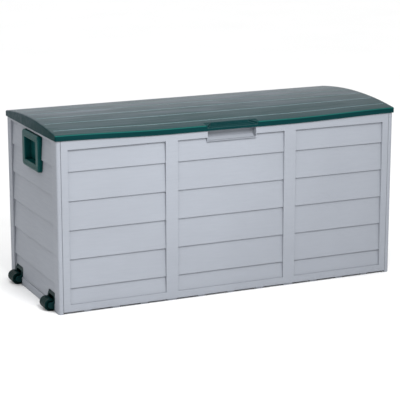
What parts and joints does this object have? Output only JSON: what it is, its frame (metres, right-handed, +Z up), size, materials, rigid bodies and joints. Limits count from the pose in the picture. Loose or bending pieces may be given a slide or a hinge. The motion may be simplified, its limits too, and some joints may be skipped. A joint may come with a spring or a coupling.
{
  "type": "deck storage box",
  "caption": "Long resin deck storage box with lap-siding walls, arched hinged lid, cup handles on the ends and transport wheels at one end.",
  "frame": {"origin": "on the floor under the middle of the box's body, which is the underside of the centre foot rail", "axes": "+X along the box's length to the right of someone facing the front, +Y from the front to the rear, +Z up; the wheels are at the -X end"},
  "size_m": [1.1496, 0.4814, 0.551],
  "materials": {
    "grey_resin": "satin moulded polypropylene with a fine wood-grain texture",
    "lid_green_resin": "satin moulded polypropylene with lengthwise grain",
    "trim_green_resin": "satin moulded polypropylene",
    "wheel_black_resin": "semi-gloss moulded plastic",
    "zinc_steel": "zinc plated"
  },
  "bodies": {
    "box": {"floor_panel": "grey_resin", "front_axle_clip": "zinc_steel", "front_floor_screws": "zinc_steel", "front_panel": "grey_resin", "front_wheel_axle": "zinc_steel", "front_wheel_housing": "trim_green_resin", "front_wheel_housing_screws": "zinc_steel", "hinge_pin_1": "trim_green_resin", "hinge_pin_2": "trim_green_resin", "hinge_pin_3": "trim_green_resin", "hinge_pin_4": "trim_green_resin", "left_front_corner_screws": "zinc_steel", "left_handle": "trim_green_resin", "left_handle_screws": "zinc_steel", "left_rear_corner_screws": "zinc_steel", "left_side_panel": "grey_resin", "rear_axle_clip": "zinc_steel", "rear_floor_screws": "zinc_steel", "rear_panel": "grey_resin", "rear_wheel_axle": "zinc_steel", "rear_wheel_housing": "trim_green_resin", "rear_wheel_housing_screws": "zinc_steel", "right_front_corner_screws": "zinc_steel", "right_handle": "trim_green_resin", "right_handle_screws": "zinc_steel", "right_rear_corner_screws": "zinc_steel", "right_side_panel": "grey_resin"},
    "lid": {"lid_panel": "lid_green_resin"},
    "front_wheel": {"front_wheel": "wheel_black_resin"},
    "rear_wheel": {"rear_wheel": "wheel_black_resin"}
  },
  "joints": [
    {"name": "lid_hinge", "type": "hinge", "parent": "box", "child": "lid", "pos_m": [0, 0.24, 0.508], "axis": [-1, 0, 0], "range_deg": [0, 100]},
    {"name": "front_wheel_spin", "type": "hinge", "parent": "box", "child": "front_wheel", "pos_m": [-0.5665, -0.152, 0.0186], "axis": [0, 1, 0], "continuous": true},
    {"name": "rear_wheel_spin", "type": "hinge", "parent": "box", "child": "rear_wheel", "pos_m": [-0.5665, 0.152, 0.0186], "axis": [0, 1, 0], "continuous": true}
  ]
}
